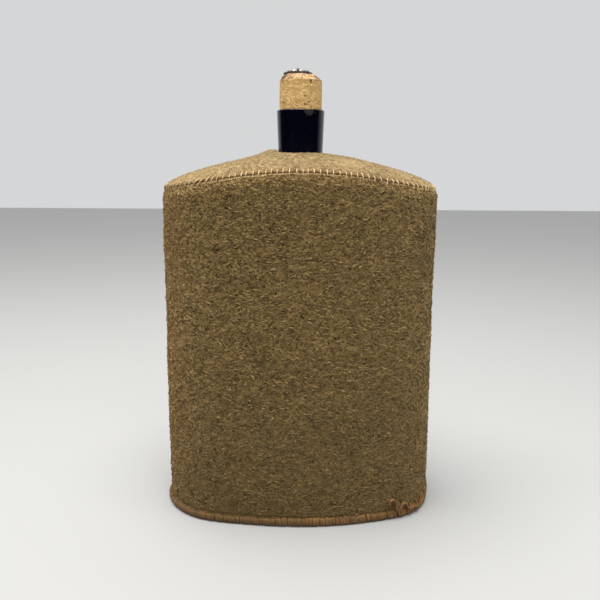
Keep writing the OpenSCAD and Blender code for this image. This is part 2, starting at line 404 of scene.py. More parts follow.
# The base panel's section: share of the way out to its edge, and height in mm
BASE_PROFILE = [(0.0, 0.1), (0.25, 0.1), (0.5, 0.08), (0.75, 0.05), (0.94, 0.0), (0.99, 0.25), (1.0, 0.9),
                (1.0, 2.8), (0.985, 3.45), (0.7, 3.45), (0.35, 3.45), (0.0, 3.45)]


def felt_base():
    """The base panel, a flat felt sheet a little worn under its edge."""
    columns = 360
    s = np.linspace(0, PERIMETER, columns, endpoint=False)
    x, y, nx, ny = plan(s)
    inset = FELT_T + 0.06 * MM
    ex, ey = x - nx * inset, y - ny * inset
    rows = []
    for scale, z in BASE_PROFILE:
        scale = max(scale, 0.02)
        p = np.stack([ex * scale, ey * scale, np.full_like(ex, z * MM)], -1)
        p[:, 2] += np.maximum(0, 0.07 * MM * noise(p, 3 * MM, 6))
        rows.append(p)
    points = np.array(rows)
    faces = grid_faces(len(points), columns)
    faces += [tuple(range(columns))[::-1], tuple(range((len(points) - 1) * columns, len(points) * columns))]
    obj = mesh_object("felt_base_panel", points, [f[::-1] for f in faces])
    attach(obj, "bottle")
    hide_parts("felt_base")
    return obj


# ---- threads

PLY_GROOVE = 0.24  # depth of the grooves between a thread's plies, as a share of its radius


def tube(route, radius, sides=8, plies=0, lay=1.2 * MM, closed=False, flat=1.0):
    """Points and faces of a thread along a route. With plies, it shows that many strands, one turn in each lay."""
    route = np.asarray(route, dtype=float)
    n = len(route)
    if closed:
        along = np.roll(route, -1, axis=0) - np.roll(route, 1, axis=0)
    else:
        along = np.gradient(route, axis=0)
    along /= np.linalg.norm(along, axis=1, keepdims=True) + 1e-12
    gone = np.concatenate([[0], np.cumsum(np.linalg.norm(np.diff(route, axis=0), axis=1))])
    side = np.cross(along[0], [0, 0, 1.0])
    if np.linalg.norm(side) < 0.1:
        side = np.cross(along[0], [0, 1.0, 0])
    angle = 2 * math.pi * np.arange(sides) / sides
    points = []
    for k in range(n):
        side = side - along[k] * np.dot(side, along[k])
        side /= np.linalg.norm(side)
        up = np.cross(along[k], side)
        r = radius[k] if np.ndim(radius) else radius
        q = np.full(sides, r)
        if plies:
            twist = plies / 2 * (angle - 2 * math.pi * gone[k] / lay)
            q = r * (1 - PLY_GROOVE + PLY_GROOVE * np.abs(np.cos(twist)))
        points += list(route[k] + (q * np.cos(angle))[:, None] * side + (q * flat * np.sin(angle))[:, None] * up)
    faces = []
    for k in range(n if closed else n - 1):
        a, b = k * sides, ((k + 1) % n) * sides
        for i in range(sides):
            j = (i + 1) % sides
            faces.append((a + i, b + i, b + j, a + j))
    if not closed:
        faces.append(tuple(range(sides)))
        faces.append(tuple(range((n - 1) * sides, n * sides))[::-1])
    return points, faces


def joined(name, parts):
    """One object of many separate tubes."""
    points, faces = [], []
    for p, f in parts:
        base = len(points)
        points += p
        faces += [tuple(base + i for i in face) for face in f]
    return mesh_object(name, points, faces)


def smooth_route(points, steps):
    """Points of a Catmull-Rom curve through the given ones."""
    p = np.asarray(points, dtype=float)
    out = []
    for j in range(len(p) - 1):
        p0, p1, p2, p3 = p[max(j - 1, 0)], p[j], p[j + 1], p[min(j + 2, len(p) - 1)]
        for i in range(steps):
            t = i / steps
            out.append(0.5 * (2 * p1 + (p2 - p0) * t + (2 * p0 - 5 * p1 + 4 * p2 - p3) * t * t
                              + (3 * p1 - p0 - 3 * p2 + p3) * t ** 3))
    out.append(p[-1])
    return np.array(out)


def seam_point(s, out, up):
    """A point by the shoulder seam: that far up the shoulder's face, or down the strip, and out from it."""
    x, y, nx, ny = plan_at(s)
    edge = seam_z(x)
    if up <= EDGE_UP:
        pull = math.exp(-(min(up, 0) / GATHER_SPREAD) ** 2)
        level = -NAP_ROOM + float(0.5 * corner(x) - EDGE_IN) * pull + out
        level += float(left_slack(x))
        return np.array([x + nx * level, y + ny * level, edge + up])
    t = ((up - EDGE_UP) / (CROWN_Z - edge)) ** (1 / SHOULDER_POWER)
    p = shoulder_points(np.array([s]), t)[0]
    step = shoulder_points(np.array([s]), t * 1.1 + 1e-4)[0] - p
    normal = np.cross(np.array([-ny, nx, 0.0]), step)
    return p + normal / np.linalg.norm(normal) * out


UNTIDY_END = -42 * MM  # the blanket stitch is untidy to the left of here
# A stray stitch of the untidy end, in mm: along the seam, out of the felt, and up
STRAY_STITCH = [(-1.2, -0.8, -0.9), (-0.9, 0.3, -0.5), (0.3, 0.5, 0.6), (1.5, 0.3, 1.5), (1.9, -0.8, 1.9)]


def top_stitches():
    """Blanket stitch over the shoulder seam: bars across it, and a thread that runs along their feet."""
    rng = random.Random(11)
    pitch = 3.1 * MM
    count = round(PERIMETER / pitch)
    thread_r = 0.3 * MM
    parts = []
    feet = []
    for i in range(count):
        s = PERIMETER * (i + 0.3 * (rng.random() - 0.5)) / count
        lean = 0.4 * MM * (rng.random() - 0.5)
        untidy = plan_x(s) < UNTIDY_END
        if untidy:
            lean += 1.2 * MM * rng.random()
        foot = (-0.85 - 0.5 * rng.random()) * MM
        head = (1.45 + 0.6 * rng.random()) * MM
        bar = [(-1, -0.9, foot - 0.15 * MM), (-1, 0.12, foot), (-0.5, 0.3, 0.5 * foot), (0, 0.55, 0.35 * MM),
               (0.6, 0.3, 0.75 * head), (1, 0.14, head), (1, -0.9, head + 0.25 * MM)]
        route = [seam_point(s + k * lean, out * MM, up) for k, out, up in bar]
        parts.append(tube(smooth_route(route, 4), thread_r * (0.85 + 0.3 * rng.random()), plies=2))
        feet.append((s - 0.6 * lean, 0.6 * foot))
        if untidy and rng.random() < 0.6:
            across = [seam_point(s + along * MM, out * MM, up * MM) for along, out, up in STRAY_STITCH]
            parts.append(tube(smooth_route(across, 4), thread_r * 0.9, plies=2))
    line = []
    for i, (s, foot) in enumerate(feet):
        s2 = feet[(i + 1) % count][0] + (PERIMETER if i == count - 1 else 0)
        line.append(seam_point(s, 0.2 * MM, foot))
        sag = 0.5 * MM * rng.random()
        line.append(seam_point(s + 0.35 * (s2 - s), -0.05 * MM, foot - sag * 0.6))
        line.append(seam_point(s + 0.7 * (s2 - s), -0.08 * MM, foot - sag * 0.3))
    line = smooth_route(line + line[:1], 3)[:-1]
    parts.append(tube(line, thread_r * 0.65, plies=2, closed=True))
    obj = joined("top_seam_stitches", parts)
    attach(obj, "bottle")
    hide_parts("top_seam_thread")
    return obj


def whip_route(s, lean, points):
    """A stitch over the bottom edge: each point is how far it stands out of the face, and its height."""
    route = []
    for k, (out, z) in enumerate(points):
        x, y, nx, ny = plan_at(s + lean * (k / (len(points) - 1) - 0.5))
        route.append([x + nx * out * MM, y + ny * out * MM, z * MM])
    return route


# Whipstitches of the hem, in mm: their pitch, and their tops' height, which falls off to the left of LOW_FROM
HEM_PITCH = 1.35
HEM_TOP = 4.35
HEM_TOP_VARIES = 0.9
HEM_LOWER_LEFT = 1.1
LOW_FROM, LOW_OVER = 5, 30


def bottom_stitches():
    """Close whipstitches round the rolled bottom edge."""
    rng = random.Random(23)
    count = round(PERIMETER / (HEM_PITCH * MM))
    parts = []
    for i in range(count):
        s = PERIMETER * (i + 0.7 * (rng.random() - 0.5)) / count
        left = min(max(LOW_FROM - plan_x(s) / MM, 0) / LOW_OVER, 1)
        top = HEM_TOP + HEM_TOP_VARIES * rng.random() - HEM_LOWER_LEFT * left
        wob = 0.14 * (rng.random() - 0.5)
        points = [(-1.3, top + 0.1), (-0.25 + wob, top - 0.2), (0.25 + wob, 4.0), (0.48 + wob, 2.9),
                  (0.3 + wob, 1.7), (-0.4, 0.8), (-1.6, 0.6)]
        lean = (0.35 + 0.5 * rng.random()) * MM
        r = (0.64 + 0.26 * rng.random()) * MM
        parts.append(tube(smooth_route(whip_route(s, lean, points), 2), r, plies=2, lay=2.2 * MM, flat=0.55))
    obj = joined("bottom_seam_stitches", parts)
    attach(obj, "bottle")
    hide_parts("bottom_seam_thread")
    return obj


def mending_stitches():
    """Coarse stitches that mend the bottom seam at the right end, and one fine end that hangs from them."""
    rng = random.Random(29)
    start = HALF_BACK + END_LENGTH + FRONT_LENGTH + 1 * MM
    stitches = 19
    parts = []
    for i in range(stitches):
        s = start + (2.0 * i + 1.3 * rng.random()) * MM
        low = 0.7 + max(0, i - 7) * 0.45
        high = low + 4.2 + 2.6 * rng.random()
        rise = high - low
        points = [(-1.4, high + 0.2), (-0.1, high), (0.55, low + 0.72 * rise), (0.75, low + 0.4 * rise),
                  (0.4, low + 0.12 * rise), (-1.3, low)]
        lean = (rng.random() * 4.6 - 1.6) * MM
        route = smooth_route(whip_route(s, lean, points), 4)
        parts.append(tube(route, (0.42 + 0.16 * rng.random()) * MM, sides=9, plies=2, lay=2 * MM))
    hang = whip_route(start + 8 * MM, -0.6 * MM, [(0.2, 4.6), (0.9, 4.2), (1.1, 2.8), (1.0, 1.4), (1.3, 0.5)])
    parts.append(tube(smooth_route(hang, 4), 0.14 * MM, sides=6))
    obj = joined("bottom_seam_mending", parts)
    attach(obj, "bottle")
    return obj


def back_stitches():
    """Crossed stitches that draw the strip's two ends together at the middle of the back."""
    rng = random.Random(31)
    low = 7 * MM
    high = float(seam_z(np.array([0.0]))[0]) - 2.5 * MM
    pitch = 3.6 * MM
    count = int((high - low) / pitch)
    parts = []
    face = BACK_Y - BACK_R
    for i in range(count):
        z = low + pitch * (i + 0.5 + 0.2 * (rng.random() - 0.5))
        half = (1.6 + 0.4 * rng.random()) * MM
        rise = 1.7 * MM
        for way in (1, -1):
            lift = 0.15 * MM if way > 0 else -0.1 * MM
            route = [[-half * way, face - 1.2 * MM, z - rise], [-half * way * 0.9, face + 0.05 * MM, z - rise * 0.9],
                     [0, face - 0.25 * MM + lift, z], [half * way * 0.9, face + 0.05 * MM, z + rise * 0.9],
                     [half * way, face - 1.2 * MM, z + rise]]
            parts.append(tube(smooth_route(route, 4), 0.38 * MM, plies=2))
    obj = joined("back_seam_stitches", parts)
    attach(obj, "bottle")
    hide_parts("back_seam_thread")
    return obj


TAIL_D = 1.4 * MM
FRAY_COUNT = 520  # fibres along the loose end, and at its tip
FRAY_AT_TIP = 26
FRAY_R = 0.075 * MM
# The loose end's route in mm, from its last stitch to its tip
TAIL_ROUTE = [(68.5, -17.2, 2.6), (67.3, -18.6, 3.4), (66.0, -19.9, 4.1), (64.6, -21.2, 4.4),
              (63.4, -22.2, 4.2), (62.4, -23.0, 4.3), (61.5, -23.7, 5.2), (60.9, -24.1, 6.8),
              (60.0, -24.6, 8.2), (58.8, -25.3, 8.7), (57.8, -25.9, 8.0), (57.2, -26.2, 6.6),
              (56.5, -26.5, 5.4), (55.6, -26.9, 5.0), (54.9, -27.2, 5.8), (54.6, -27.3, 7.4),
              (54.4, -27.4, 9.2), (53.7, -27.6, 10.9), (52.5, -28.1, 11.9), (51.3, -28.5, 11.6),
              (50.6, -28.8, 10.6), (50.3, -28.9, 9.4)]


def loose_thread():
    """The bottom thread's free end, a three-ply yarn curled up against the felt, with frayed fibres on it."""
    route = smooth_route(np.array(TAIL_ROUTE) * MM, 8)
    radius = np.full(len(route), TAIL_D / 2)
    radius[-6:] *= np.linspace(1, 0.55, 6)
    points, faces = tube(route, radius, sides=15, plies=3, lay=3.2 * MM)
    obj = mesh_object("loose_thread", points, faces)
    rng = np.random.RandomState(41)
    at = np.concatenate([rng.randint(6, len(route) - 2, FRAY_COUNT), np.full(FRAY_AT_TIP, len(route) - 2)])
    away = unit(rng.normal(size=(len(at), 3)))
    tangent = unit(np.gradient(route, axis=0)[at])
    out = unit(np.cross(tangent, away))
    along = unit(tangent * (0.5 + rng.random((len(at), 1))) + 0.9 * out)
    size = 1.3 * MM * (0.5 + rng.random(len(at)))
    centre = route[at] + out * TAIL_D * 0.45 + along * size[:, None] / 2
    points, faces, _ = hairs(rng, centre, out, along, size, FRAY_R)
    points[:, 2] = np.maximum(points[:, 2], 0.1 * MM)
    fray = mesh_object("loose_thread_fray", points, faces)
    for piece in (obj, fray):
        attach(piece, "bottle")
    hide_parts("loose_thread_end")
    return obj, fray


# ---- fibres

def hairs(rng, p, normal, along, size, radius):
    """Short bent hairs, tapered at both ends, centred on points p: their points, faces and a tone each."""
    count = len(p)
    side = np.cross(normal, along)
    bend = rng.uniform(-1.1, 1.1, count)
    rise = 0.02 + 0.2 * rng.random(count) ** 3
    r = (radius * rng.uniform(0.6, 1.4, count))[:, None]
    size = np.broadcast_to(size, count)

    def at(t):
        q = p + along * (size * (t - 0.5))[:, None] + side * (size * bend * (t * (1 - t)))[:, None]
        return q + normal * (size * rise * t)[:, None]

    points = np.empty((count, 5, 3))
    points[:, 0] = at(0.0) - normal * 0.15 * MM
    middle = at(0.5)
    points[:, 1] = middle + r * normal
    points[:, 2] = middle - 0.5 * r * normal + 0.87 * r * side
    points[:, 3] = middle - 0.5 * r * normal - 0.87 * r * side
    points[:, 4] = at(1.0)
    one = np.array([(0, 2, 1), (0, 3, 2), (0, 1, 3), (1, 2, 4), (2, 3, 4), (3, 1, 4)])
    faces = (one[None] + 5 * np.arange(count)[:, None, None]).reshape(-1, 3)
    return points.reshape(-1, 3), faces.tolist(), np.repeat(rng.random(count), 5)


SLIT_X, SLIT_Z = -19.4 * MM, 166.8 * MM
HAIR_R = 0.22 * MM
HAIR_SHORTEST, HAIR_VARIES = 1.3, 2.6  # mm
HAIR_LONGEST = 3.9 * MM


def fibres_on_wrap(name, seed, start, end, count):
    """Tufts of felt fibre on the strip, on the stretch of the plan from start to end."""
    rng = np.random.RandomState(seed)
    x, y, nx, ny = plan(start + (end - start) * rng.random(count))
    low, high = 5.5 * MM, seam_z(x) - 0.4 * MM
    p = np.stack([x, y, low + (high - low) * rng.random(count)], -1)
    clear = (np.abs(p[:, 0] - SLIT_X) > 1.3 * MM) | (np.abs(p[:, 2] - SLIT_Z) > 3.6 * MM) | (p[:, 1] > 0)
    p, nx, ny, x = p[clear], nx[clear], ny[clear], x[clear]
    count = len(p)
    normal = np.stack([nx, ny, np.zeros(count)], -1)
    p += normal * (wave(p) + tufts(p) + wrap_offset(x, p[:, 2]) + left_slack(x) + 0.03 * MM)[:, None]
    slant = 0.95 * noise(p, 6 * MM, 21) + 0.5 * noise(p, 2.2 * MM, 22) + rng.normal(0, 0.25, count)
    along = np.stack([-ny * np.cos(slant), nx * np.cos(slant), np.sin(slant)], -1)
    size = (HAIR_SHORTEST + HAIR_VARIES * rng.random(count) ** 2) * MM
    points, faces, tone = hairs(rng, p, normal, along, size, HAIR_R)
    tone = 0.8 * tone + 0.2 * np.repeat(size, 5) / HAIR_LONGEST
    obj = mesh_object(name, points, faces)
    put_attribute(obj, "tone", tone)
    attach(obj, "bottle")
    return obj


def fibres_on_shoulder():
    """Fine fibres that lie every way on the shoulder panel."""
    rng = np.random.RandomState(8)
    count = 10000
    s = rng.random(count) * PERIMETER
    t = 0.006 + 0.98 * rng.random(count) ** 1.4
    p, q, r = shoulder_points(s, t), shoulder_points(s + 0.3 * MM, t), shoulder_points(s, t + 0.004)
    level = unit(q - p)
    normal = np.cross(level, unit(r - p))
    normal *= np.sign(normal[:, 2:3]) / np.linalg.norm(normal, axis=1, keepdims=True)
    p[:, 2] += crown_shape(p)
    p += normal * (0.35 * tufts(p) + 0.05 * MM)[:, None]
    slant = rng.uniform(0, 2 * math.pi, count)[:, None]
    along = level * np.cos(slant) + np.cross(normal, level) * np.sin(slant)
    points, faces, tone = hairs(rng, p, normal, along, rng.uniform(1.2 * MM, 3.2 * MM, count), 0.09 * MM)
    obj = mesh_object("felt_shoulder_fibres", points, faces)
    put_attribute(obj, "tone", tone)
    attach(obj, "bottle")
    return obj


# ---- cork

CORK_R = 11.1  # mm
CORK_CUT = 3.3 * MM  # height of the worn bevel at the top
CORK_HOLE_R = 1.62  # mm
# Deep pits on the cork's front: X, height above the rim and size, in mm
CORK_PITS = [(5.2, 13.4, 0.75), (2.3, 2.3, 0.6), (4.3, 3.4, 0.4), (-4.6, 15.2, 0.5)]


def cork_mesh():
    """The cork: a turned shape with a bevelled top, pits, dents and chips, and the spindle's hole."""
    lo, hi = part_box("cork")
    foot, top = lo[2], hi[2]
    spindle = (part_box("spindle")[0][0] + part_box("spindle")[1][0]) / 2
    columns = 220
    profile = [(6.0, foot), (9.2, foot), (10.35, foot + 0.5 * MM), (10.6, foot + 1.4 * MM)]
    seat_top = RIM_Z - 0.4 * MM
    seat_rings, shown_rings, bevel_rings = 26, 60, 18
    for i in range(1, seat_rings + 1):
        t = i / seat_rings
        profile.append((10.55 + 0.38 * t, foot + 1.4 * MM + (seat_top - foot - 1.4 * MM) * t))
    for i in range(1, shown_rings + 1):
        profile.append((CORK_R, seat_top + (top - CORK_CUT - seat_top) * (i / shown_rings)))
    angle = np.linspace(0, 2 * math.pi, columns, endpoint=False)
    bevel = 3.2 + 0.9 * np.cos(angle)
    for i in range(1, bevel_rings + 1):
        t = i / bevel_rings
        profile.append((CORK_R - bevel * (0.85 * t + 0.15 * t ** 4), top - CORK_CUT + 3.05 * MM * t))
    for t in (0.12, 0.3, 0.5, 0.75, 1.0):
        profile.append(((CORK_R - bevel) * (1 - t) + 4.2 * t, top - 0.25 * MM))
    outward = np.stack([np.cos(angle), np.sin(angle), np.zeros(columns)], -1)

    def ring(x, r, z):
        return np.stack([x + r * MM * np.cos(angle), NECK_Y + r * MM * np.sin(angle), np.full(columns, z)], -1)

    rows, pits = [], []
    for r, z in profile:
        p = ring(NECK_X, r, z)
        crack = noise(p * np.array([1, 1, 1.9]), 1.5 * MM, 7)
        deep = np.clip((crack - 0.7) / 0.25, 0, 1)
        for px, pz, size in CORK_PITS:
            far = np.hypot(p[:, 0] - NECK_X - px * MM, p[:, 2] - RIM_Z - pz * MM) / (size * MM)
            deep = np.maximum(deep, np.exp(-far ** 2) * (angle > math.pi))
        dents = noise(p, 3.2 * MM, 8)
        shown = np.clip((z - RIM_Z) / (1.5 * MM), 0.12, 1)
        edge = np.clip((z - (top - 4.2 * MM)) / (2.5 * MM), 0, 1)
        chip = np.clip(noise(p, 3.0 * MM, 9) - 0.1, 0, 1) * edge
        off = shown * (-0.5 * MM * deep - 0.08 * MM * (1 + dents)) - 1.3 * MM * chip
        p = p + outward * off[:, None]
        if np.max(r) < 9.0:
            p[:, 2] -= 0.25 * MM * np.clip(noise(p, 2 * MM, 10), 0, 1)
        rows.append(p)
        pits.append(deep * shown)
    for r, z in ((3.4, top - 0.25 * MM), (CORK_HOLE_R, top - 0.25 * MM), (CORK_HOLE_R, foot), (3.2, foot)):
        rows.append(ring(spindle, r, z))
        pits.append(np.zeros(columns))
    points = np.array(rows)
    faces = grid_faces(len(points), columns, closed_rows=True)
    obj = mesh_object("cork_stopper", points, faces)
    put_attribute(obj, "pit", pits)
    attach(obj, "stopper")
    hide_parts("cork")
    return obj


# ---- materials

def ranged(node, low, high, to_low, to_high):
    """The result of a Map Range node from low..high to to_low..to_high."""
    for key, number in (("From Min", low), ("From Max", high), ("To Min", to_low), ("To Max", to_high)):
        node.inputs[key].default_value = number
    return node.outputs["Result"]


class Nodes:
    """A short way to write a material's nodes."""

    def __init__(self, name):
        self.material = bpy.data.materials.new(name)
        self.material.use_nodes = True
        self.tree = self.material.node_tree
        self.shader = self.tree.nodes["Principled BSDF"]
        self.place = self.add("ShaderNodeTexCoord").outputs["Object"]

    def add(self, kind, **settings):
        node = self.tree.nodes.new(kind)
        for key, value in settings.items():
            setattr(node, key, value)
        return node

    def link(self, source, target):
        if isinstance(source, bpy.types.NodeSocket):
            self.tree.links.new(source, target)
        else:
            target.default_value = source

    def noise(self, scale, detail=4.0, rough=0.55, stretch=(1, 1, 1), distortion=0.0, turn=(0, 0, 0)):
        """Noise from 0 to 1. Its marks are longer by stretch along the turned axes."""
        place = self.place
        if tuple(stretch) != (1, 1, 1) or tuple(turn) != (0, 0, 0):
            mapping = self.add("ShaderNodeMapping", vector_type="TEXTURE")
            self.link(place, mapping.inputs["Vector"])
            mapping.inputs["Scale"].default_value = stretch
            mapping.inputs["Rotation"].default_value = turn
            place = mapping.outputs["Vector"]
        node = self.add("ShaderNodeTexNoise")
        self.link(place, node.inputs["Vector"])
        node.inputs["Scale"].default_value = scale
        node.inputs["Detail"].default_value = detail
        node.inputs["Roughness"].default_value = rough
        node.inputs["Distortion"].default_value = distortion
        return node.outputs["Fac"]

    def strands(self, scale, stretch, turn, width, curl=1.2):
        """Thin curled lines, 1 along their middles and 0 beside them."""
        away = self.math("ABSOLUTE", self.math("SUBTRACT", self.noise(scale, 1, 0.5, stretch, curl, turn), 0.5))
        return self.math("SUBTRACT", 1.0, self.math("DIVIDE", away, width), clamp=True)

    def attribute(self, name):
        return self.add("ShaderNodeAttribute", attribute_name=name).outputs["Fac"]

    def math(self, operation, a, b=0.0, clamp=False):
        node = self.add("ShaderNodeMath", operation=operation, use_clamp=clamp)
        self.link(a, node.inputs[0])
        self.link(b, node.inputs[1])
        return node.outputs[0]

    def times(self, a, b, clamp=False):
        return self.math("MULTIPLY", a, b, clamp)

    def plus(self, a, b):
        return self.math("ADD", a, b)

    def less(self, a, b, clamp=False):
        return self.math("SUBTRACT", a, b, clamp)

    def most(self, a, b):
        return self.math("MAXIMUM", a, b)

    def remap(self, value, low, high, to_low=0.0, to_high=1.0):
        node = self.add("ShaderNodeMapRange")
        self.link(value, node.inputs["Value"])
        return ranged(node, low, high, to_low, to_high)

    def ramp(self, value, stops):
        node = self.add("ShaderNodeValToRGB")
        self.link(value, node.inputs["Fac"])
        elements = node.color_ramp.elements
        while len(elements) < len(stops):
            elements.new(0.5)
        for element, (at, colour) in zip(elements, stops):
            element.position = at
            element.color = (*colour, 1)
        return node.outputs["Color"]

    def mix(self, amount, a, b):
        """Colour a where amount is 0 and colour b where it is 1."""
        node = self.add("ShaderNodeMix", data_type="RGBA")
        self.link(amount, node.inputs["Factor"])
        for socket, value in ((node.inputs[6], a), (node.inputs[7], b)):
            self.link(value if isinstance(value, bpy.types.NodeSocket) else (*value, 1), socket)
        return node.outputs[2]

    def near(self, centre, radius):
        """1 at a point, falling to 0 at that distance from it."""
        node = self.add("ShaderNodeVectorMath", operation="DISTANCE")
        self.link(self.place, node.inputs[0])
        node.inputs[1].default_value = centre
        return self.remap(node.outputs["Value"], radius, 0.0)

    def part(self, axis):
        """The shaded point's X, Y or Z."""
        node = self.add("ShaderNodeSeparateXYZ")
        self.link(self.place, node.inputs[0])
        return node.outputs[axis]

    def bump(self, height, strength, distance):
        node = self.add("ShaderNodeBump")
        self.link(height, node.inputs["Height"])
        node.inputs["Strength"].default_value = strength
        node.inputs["Distance"].default_value = distance
        self.link(node.outputs["Normal"], self.shader.inputs["Normal"])

    def set(self, **values):
        """Link or set inputs of the shader, named with _ for each space."""
        for key, value in values.items():
            self.link(value, self.shader.inputs[key.replace("_", " ")])


def felt_colours(n, stops):
    """The matted wool's colour and relief: curled strands, grain, clumps and broad wear."""
    level = n.strands(620, (3, 3, 1), (0.1, 0.15, 0), 0.10)
    rising = n.strands(690, (3, 3, 1), (0.5, 0.55, 0.3), 0.09)
    falling = n.strands(650, (3, 3, 1), (-0.5, -0.5, 0.7), 0.09)
    wool = n.most(level, n.most(rising, falling))
    grain = n.noise(1300, 2, 0.7)
    clumps = n.less(n.noise(190, 2, 0.6), 0.5)
    patches = n.less(n.noise(32, 2, 0.5), 0.5)
    relief = n.plus(n.times(wool, 0.55), n.times(grain, 0.45))
    tone = n.plus(relief, n.times(clumps, 0.12))
    tone = n.plus(tone, n.times(patches, 0.12))
    return n.ramp(tone, stops), relief


RED_STAIN = (0.22, 0.098, 0.030)
RED_STAIN_ON_HAIR = (0.30, 0.14, 0.045)
# Colour of the painted shade low on the felt and high up on its right, over the shoulder.
PAINTED_SHADE = (0.03, 0.014, 0.002)
FELT_SHEEN = (0.95, 0.68, 0.33, 1)


def stain_and_painted_shade(n, colour, rust):
    """The felt's colour with its stains (the left end, the two seams' bands, a few marks), and painted shade low
    down and high up on the right, over the shoulder.
    """
    red = n.noise(300, 3, 0.6)
    side = n.remap(n.part("X"), -56 * MM, -74 * MM)
    stain = n.times(side, n.remap(red, 0.35, 0.6, 0.35, 1.0))
    stain = n.most(stain, n.times(n.near((-27 * MM, -33 * MM, 31 * MM), 9 * MM), 0.5))
    stain = n.most(stain, n.near((8.6 * MM, -36 * MM, 131.5 * MM), 2.2 * MM))
    hem = n.times(n.remap(n.part("Z"), 7 * MM, 2 * MM), 0.9)
    stain = n.most(stain, n.times(n.attribute("seam"), n.remap(red, 0.3, 0.6, 0.5, 1.0)))
    stain = n.times(n.most(stain, hem), 0.5)
    # Painted shade: the felt is darkened towards the bottom, and high up on the right over the shoulder, in place of
    # shade.
    low_painted_shade = n.remap(n.part("Z"), 100 * MM, 15 * MM, 0, 0.37)
    right_painted_shade = n.remap(n.part("X"), 8 * MM, 45 * MM, 0, 0.2)
    painted_shade = n.most(low_painted_shade, n.times(right_painted_shade, n.remap(n.part("Z"), 180 * MM, 184 * MM)))
    return n.mix(painted_shade, n.mix(stain, colour, rust), PAINTED_SHADE)


def felt_material(name, stops, relief_depth):
    """Worn felt with stains and painted shade, and a small slit in the front shown only as painted shade."""
    n = Nodes(name)
    colour, relief = felt_colours(n, stops)
    colour = stain_and_painted_shade(n, colour, RED_STAIN)
    # The slit in the front is not cut in the mesh: its dark inside is painted shade.
    across = n.math("ABSOLUTE", n.less(n.part("X"), SLIT_X))
    along = n.math("ABSOLUTE", n.less(n.part("Z"), SLIT_Z))
    slit = n.times(n.remap(across, 0.5 * MM, 0.25 * MM), n.remap(along, 2.8 * MM, 2.3 * MM))
    slit = n.times(slit, n.remap(n.part("Y"), -20 * MM, -22 * MM))
    colour = n.mix(slit, colour, (0.012, 0.008, 0.004))
    n.set(Base_Color=colour, Roughness=0.95, Sheen_Weight=0.62, Sheen_Roughness=0.45, Sheen_Tint=FELT_SHEEN,
          Specular_IOR_Level=0.1)
    n.bump(relief, 1.0, relief_depth)
    return n.material


def hair_material(name, stops):
    """Felt fibres, each with its own tone."""
    n = Nodes(name)
    patches = n.noise(60, 2, 0.5)
    tone = n.plus(n.attribute("tone"), n.times(n.less(patches, 0.45), 0.3))
    n.set(Base_Color=stain_and_painted_shade(n, n.ramp(tone, stops), RED_STAIN_ON_HAIR), Roughness=0.9, Sheen_Weight=0.45,
          Sheen_Tint=FELT_SHEEN, Specular_IOR_Level=0.15)
    n.bump(n.noise(2200, 2, 0.6), 0.4, 0.1 * MM)
    return n.material


def thread_material(name, dark, light, faded, right=-30, left=-62):
    """Spun thread with worn patches, which fades between two X positions in millimetres."""
    n = Nodes(name)
    tone = n.noise(900, 3, 0.6)
    wear = n.noise(160, 2, 0.5)
    tone = n.plus(n.times(tone, 0.5), n.times(wear, 0.5))
    fading = n.times(n.remap(n.part("X"), right * MM, left * MM), 0.65)
    colour = n.mix(fading, n.ramp(tone, [(0.3, dark), (0.68, light)]), faded)
    n.set(Base_Color=colour, Roughness=0.8, Sheen_Weight=0.15, Sheen_Tint=(0.95, 0.68, 0.4, 1))
    n.bump(n.noise(2600, 2, 0.6), 0.5, 0.15 * MM)
    return n.material


def cork_material():
    """Cork bark, dark in its pits, with rust stains at the top, and painted shade where it meets the neck."""
    n = Nodes("cork_bark")
    grain = n.noise(420, 5, 0.65)
    cells = n.noise(1500, 3, 0.6)
    veins = n.strands(230, (1.8, 1.8, 1), (0.2, 0.6, 0), 0.12, curl=3.2)
    tone = n.plus(n.times(grain, 0.6), n.times(cells, 0.4))
    colour = n.ramp(tone, [(0.3, (0.36, 0.215, 0.075)), (0.5, (0.55, 0.36, 0.145)), (0.72, (0.72, 0.52, 0.26))])
    colour = n.mix(n.times(veins, 0.85), colour, (0.29, 0.162, 0.047))
    pit = n.attribute("pit")
    colour = n.mix(n.remap(pit, 0.1, 0.8, 0, 0.85), colour, (0.10, 0.065, 0.022))
    height = n.part("Z")
    rust = n.times(n.remap(height, RIM_Z + 13.6 * MM, RIM_Z + 15.6 * MM),
                  n.remap(n.noise(260, 3, 0.6), 0.35, 0.6, 0.35, 1.0))
    flecks = n.noise(620, 3, 0.65)
    rusted = n.ramp(flecks, [(0.42, (0.07, 0.025, 0.014)), (0.5, (0.18, 0.098, 0.066)), (0.60, (0.29, 0.205, 0.15))])
    colour = n.mix(n.times(rust, 0.85), colour, rusted)
    left = n.near((NECK_X - 8.6 * MM, NECK_Y - 4.5 * MM, RIM_Z + 17 * MM), 3.6 * MM)
    right = n.near((NECK_X + 9.0 * MM, NECK_Y - 4.0 * MM, RIM_Z + 16.6 * MM), 2.6 * MM)
    marks = n.most(left, n.times(right, 0.8))
    marks = n.times(marks, n.remap(flecks, 0.35, 0.6, 0.4, 1.6))
    colour = n.mix(n.times(marks, 1.5, clamp=True), colour, (0.05, 0.026, 0.018))
    # Painted shade: the cork is darkened where it goes into the neck.
    foot = n.remap(height, RIM_Z + 1.2 * MM, RIM_Z - 0.5 * MM)
    colour = n.mix(n.times(foot, 0.6), colour, (0.22, 0.12, 0.05))
    n.set(Base_Color=colour, Roughness=0.85, Specular_IOR_Level=0.3)
    n.bump(tone, 0.6, 0.35 * MM)
    return n.material


